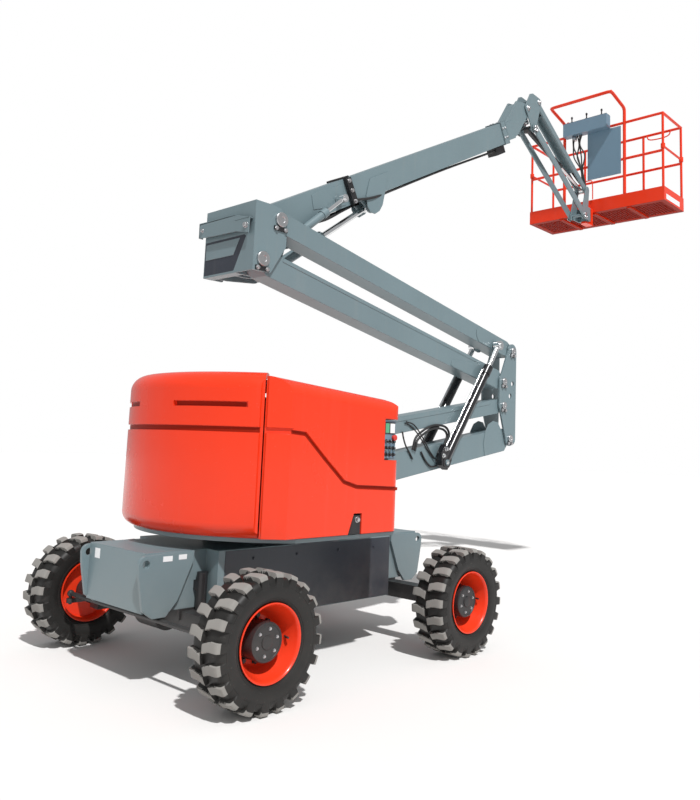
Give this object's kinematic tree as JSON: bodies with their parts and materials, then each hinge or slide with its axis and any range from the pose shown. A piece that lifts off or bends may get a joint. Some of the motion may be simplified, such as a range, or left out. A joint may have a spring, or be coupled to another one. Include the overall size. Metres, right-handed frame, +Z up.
{
  "type": "articulating boom lift",
  "caption": "Self-propelled articulating boom lift with a slewing turret, folding riser, telescopic boom, jib and a railed work platform on four lugged wheels.",
  "frame": {"origin": "middle of the whole machine on the ground, centred along X and Y", "axes": "+X forward along the boom towards the platform, +Y left, +Z up"},
  "size_m": [7.148, 2.29, 6.0461],
  "materials": {
    "body_orange": "gloss",
    "frame_grey": "satin",
    "axle_black": "satin",
    "cylinder_black": "gloss",
    "dark_navy": "satin",
    "counterweight_iron": "rough",
    "bare_steel": "brushed",
    "rod_chrome": "polished",
    "tyre_rubber": "matte",
    "console_grey": "satin"
  },
  "bodies": {
    "base": {"chassis": "frame_grey", "steer_axle": "axle_black", "drive_axle": "axle_black", "axle_struts": "axle_black", "slew_ring": "dark_navy"},
    "turret": {"turntable": "frame_grey", "counterweight": "counterweight_iron", "tail_cover": "body_orange", "engine": "dark_navy", "tank": "axle_black", "ground_controls": "frame_grey"},
    "wheel_steer_left": {"tyre_steer_left": "tyre_rubber", "rim_steer_left": "body_orange"},
    "wheel_steer_right": {"tyre_steer_right": "tyre_rubber", "rim_steer_right": "body_orange"},
    "wheel_drive_left": {"tyre_drive_left": "tyre_rubber", "rim_drive_left": "body_orange"},
    "wheel_drive_right": {"tyre_drive_right": "tyre_rubber", "rim_drive_right": "body_orange"},
    "platform": {"platform": "body_orange", "console": "console_grey"},
    "knuckle_left": {"knuckle_left": "axle_black"},
    "knuckle_right": {"knuckle_right": "axle_black"},
    "tie_rod": {"tie_rod": "bare_steel"},
    "hood_left": {"hood_left": "body_orange"},
    "hood_right": {"hood_right": "body_orange"},
    "lower_riser": {"lower_riser": "frame_grey"},
    "lower_link": {"lower_link": "frame_grey"},
    "mid_link": {"mid_link": "frame_grey"},
    "upper_riser": {"upper_riser": "frame_grey"},
    "upper_link": {"upper_link": "frame_grey"},
    "elbow": {"elbow": "frame_grey"},
    "riser_barrels": {"riser_barrels": "cylinder_black"},
    "riser_rods": {"riser_rods": "rod_chrome"},
    "boom_barrel": {"boom_barrel": "frame_grey"},
    "boom_rod": {"boom_rod": "rod_chrome"},
    "master_barrel": {"master_barrel": "frame_grey"},
    "master_rod": {"master_rod": "rod_chrome"},
    "main_boom": {"main_boom": "frame_grey"},
    "fly_boom": {"fly_boom": "frame_grey"},
    "level_barrel": {"level_barrel": "cylinder_black"},
    "level_rod": {"level_rod": "rod_chrome"},
    "jib_bracket": {"jib_bracket": "frame_grey"},
    "jib_lower_arms": {"jib_lower_arms": "frame_grey"},
    "jib_upper_arm": {"jib_upper_arm": "frame_grey"},
    "jib_barrel": {"jib_barrel": "cylinder_black"},
    "jib_rod": {"jib_rod": "rod_chrome"},
    "platform_head": {"platform_head": "frame_grey"},
    "gate_left": {"gate_left": "body_orange"},
    "gate_right": {"gate_right": "body_orange"}
  },
  "joints": [
    {"name": "steer_left", "type": "hinge", "parent": "base", "child": "knuckle_left", "pos_m": [-3.18795, 0.79, 0.386], "axis": [0, 0, 1], "range_deg": [-30, 30]},
    {"name": "steer_right", "type": "hinge", "parent": "base", "child": "knuckle_right", "pos_m": [-3.18795, -0.79, 0.386], "axis": [0, 0, 1], "range_deg": [-30, 30]},
    {"name": "tie_rod_turn", "type": "hinge", "parent": "knuckle_left", "child": "tie_rod", "pos_m": [-3.38795, 0.79, 0.386], "axis": [0, 0, 1], "range_deg": [-30, 30]},
    {"name": "spin_steer_left", "type": "hinge", "parent": "knuckle_left", "child": "wheel_steer_left", "pos_m": [-3.18795, 1.01, 0.386], "axis": [0, 1, 0], "continuous": true},
    {"name": "spin_steer_right", "type": "hinge", "parent": "knuckle_right", "child": "wheel_steer_right", "pos_m": [-3.18795, -1.01, 0.386], "axis": [0, 1, 0], "continuous": true},
    {"name": "spin_drive_left", "type": "hinge", "parent": "base", "child": "wheel_drive_left", "pos_m": [-1.29395, 1.01, 0.386], "axis": [0, 1, 0], "continuous": true},
    {"name": "spin_drive_right", "type": "hinge", "parent": "base", "child": "wheel_drive_right", "pos_m": [-1.29395, -1.01, 0.386], "axis": [0, 1, 0], "continuous": true},
    {"name": "slew", "type": "hinge", "parent": "base", "child": "turret", "pos_m": [-2.24095, 0, 0.8723], "axis": [0, 0, 1], "range_deg": [-177, 177]},
    {"name": "hood_right_open", "type": "hinge", "parent": "turret", "child": "hood_right", "pos_m": [-2.24095, -0.344, 1.813], "axis": [-0.9976, 0, 0.0698], "range_deg": [0, 75]},
    {"name": "hood_left_open", "type": "hinge", "parent": "turret", "child": "hood_left", "pos_m": [-2.24095, 0.344, 1.813], "axis": [0.9976, 0, -0.0698], "range_deg": [0, 75]},
    {"name": "riser", "type": "hinge", "parent": "turret", "child": "lower_riser", "pos_m": [-2.62095, -0.18, 1.089], "axis": [0, -1, 0], "range_deg": [-9.7, 50]},
    {"name": "lower_link_turn", "type": "hinge", "parent": "turret", "child": "lower_link", "pos_m": [-2.74095, -0.18, 1.41], "axis": [0, -1, 0], "range_deg": [-9.7, 50]},
    {"name": "mid_link_turn", "type": "hinge", "parent": "lower_riser", "child": "mid_link", "pos_m": [0.50274, -0.18, 1.62294], "axis": [0, -1, 0], "range_deg": [-50, 9.7]},
    {"name": "upper_riser_turn", "type": "hinge", "parent": "mid_link", "child": "upper_riser", "pos_m": [0.38274, -0.18, 2.18094], "axis": [0, -1, 0], "range_deg": [-50, 9.7]},
    {"name": "upper_link_turn", "type": "hinge", "parent": "mid_link", "child": "upper_link", "pos_m": [0.53274, -0.18, 2.49994], "axis": [0, -1, 0], "range_deg": [-50, 9.7]},
    {"name": "elbow_turn", "type": "hinge", "parent": "upper_riser", "child": "elbow", "pos_m": [-2.72909, -0.18, 2.78019], "axis": [0, -1, 0], "range_deg": [-9.7, 50]},
    {"name": "riser_cylinders_swing", "type": "hinge", "parent": "lower_riser", "child": "riser_barrels", "pos_m": [-0.60676, -0.18, 1.37925], "axis": [0, -1, 0], "range_deg": [-22.9, 4.6]},
    {"name": "riser_cylinders_stroke", "type": "slide", "parent": "riser_barrels", "child": "riser_rods", "axis": [0.5857, 0, 0.8105], "range_m": [-0.154, 0.79]},
    {"name": "boom_lift", "type": "hinge", "parent": "elbow", "child": "main_boom", "pos_m": [-2.57909, 0.11, 3.09919], "axis": [0, -1, 0], "range_deg": [-24, 21]},
    {"name": "boom_cylinder_swing", "type": "hinge", "parent": "elbow", "child": "boom_barrel", "pos_m": [-2.40209, 0.11, 2.77119], "axis": [0, -1, 0], "range_deg": [-23.6, 20.6]},
    {"name": "boom_cylinder_stroke", "type": "slide", "parent": "boom_barrel", "child": "boom_rod", "axis": [0.8038, 0, 0.5949], "range_m": [-0.149, 0.131]},
    {"name": "master_cylinder_swing", "type": "hinge", "parent": "elbow", "child": "master_barrel", "pos_m": [-2.33209, -0.05, 3.01119], "axis": [0, -1, 0], "range_deg": [-27.9, 24.4]},
    {"name": "master_cylinder_stroke", "type": "slide", "parent": "master_barrel", "child": "master_rod", "axis": [0.7602, 0, 0.6497], "range_m": [-0.087, 0.077]},
    {"name": "telescope", "type": "slide", "parent": "main_boom", "child": "fly_boom", "axis": [0.8738, 0, 0.4863], "range_m": [0, 1.2]},
    {"name": "jib_level", "type": "hinge", "parent": "fly_boom", "child": "jib_bracket", "pos_m": [1.28478, 0.11, 5.44091], "axis": [0, -1, 0], "range_deg": [-21, 24]},
    {"name": "level_cylinder_swing", "type": "hinge", "parent": "fly_boom", "child": "level_barrel", "pos_m": [1.07913, 0.11, 5.10099], "axis": [0, -1, 0], "range_deg": [-1.1, 1]},
    {"name": "level_cylinder_stroke", "type": "slide", "parent": "level_barrel", "child": "level_rod", "axis": [0.8024, 0, 0.5968], "range_m": [-0.055, 0.062]},
    {"name": "jib", "type": "hinge", "parent": "jib_bracket", "child": "jib_lower_arms", "pos_m": [1.40878, 0.11, 5.24091], "axis": [0, 1, 0], "range_deg": [-58, 26]},
    {"name": "jib_upper_turn", "type": "hinge", "parent": "jib_bracket", "child": "jib_upper_arm", "pos_m": [1.51878, 0.11, 5.59591], "axis": [0, 1, 0], "range_deg": [-58, 26]},
    {"name": "head_level", "type": "hinge", "parent": "jib_lower_arms", "child": "platform_head", "pos_m": [2.62595, 0.11, 4.50956], "axis": [0, 1, 0], "range_deg": [-26, 58]},
    {"name": "jib_cylinder_swing", "type": "hinge", "parent": "jib_bracket", "child": "jib_barrel", "pos_m": [1.40878, 0.11, 5.24091], "axis": [0, 1, 0], "range_deg": [-53.8, 24.2]},
    {"name": "jib_cylinder_stroke", "type": "slide", "parent": "jib_barrel", "child": "jib_rod", "axis": [0.9621, 0, -0.2728], "range_m": [-0.168, 0.373]},
    {"name": "platform_rotate", "type": "hinge", "parent": "platform_head", "child": "platform", "pos_m": [2.81595, 0.11, 4.50956], "axis": [0, 0, 1], "range_deg": [-90, 90]},
    {"name": "gate_left_lift", "type": "slide", "parent": "platform", "child": "gate_left", "axis": [0, 0, 1], "range_m": [0, 0.35]},
    {"name": "gate_right_lift", "type": "slide", "parent": "platform", "child": "gate_right", "axis": [0, 0, 1], "range_m": [0, 0.35]}
  ],
  "couplings": [
    {"joint": "steer_right", "follows": "steer_left", "ratio": 1},
    {"joint": "tie_rod_turn", "follows": "steer_left", "ratio": -1},
    {"joint": "lower_link_turn", "follows": "riser", "ratio": 1},
    {"joint": "mid_link_turn", "follows": "riser", "ratio": -1},
    {"joint": "upper_riser_turn", "follows": "riser", "ratio": -1},
    {"joint": "upper_link_turn", "follows": "riser", "ratio": -1},
    {"joint": "elbow_turn", "follows": "riser", "ratio": 1},
    {"joint": "riser_cylinders_swing", "follows": "riser", "ratio": -0.4542},
    {"joint": "riser_cylinders_stroke", "follows": "riser", "m_per_rad": 0.90319},
    {"joint": "boom_cylinder_swing", "follows": "boom_lift", "ratio": 0.97545},
    {"joint": "boom_cylinder_stroke", "follows": "boom_lift", "m_per_rad": 0.35319},
    {"joint": "master_cylinder_swing", "follows": "boom_lift", "ratio": 1.1565},
    {"joint": "master_cylinder_stroke", "follows": "boom_lift", "m_per_rad": 0.20491},
    {"joint": "jib_level", "follows": "boom_lift", "ratio": -1},
    {"joint": "level_cylinder_swing", "follows": "boom_lift", "ratio": 0.04},
    {"joint": "level_cylinder_stroke", "follows": "boom_lift", "m_per_rad": -0.14526},
    {"joint": "jib_upper_turn", "follows": "jib", "ratio": 1},
    {"joint": "head_level", "follows": "jib", "ratio": -1},
    {"joint": "jib_cylinder_swing", "follows": "jib", "ratio": 0.92454},
    {"joint": "jib_cylinder_stroke", "follows": "jib", "m_per_rad": -0.36683}
  ]
}
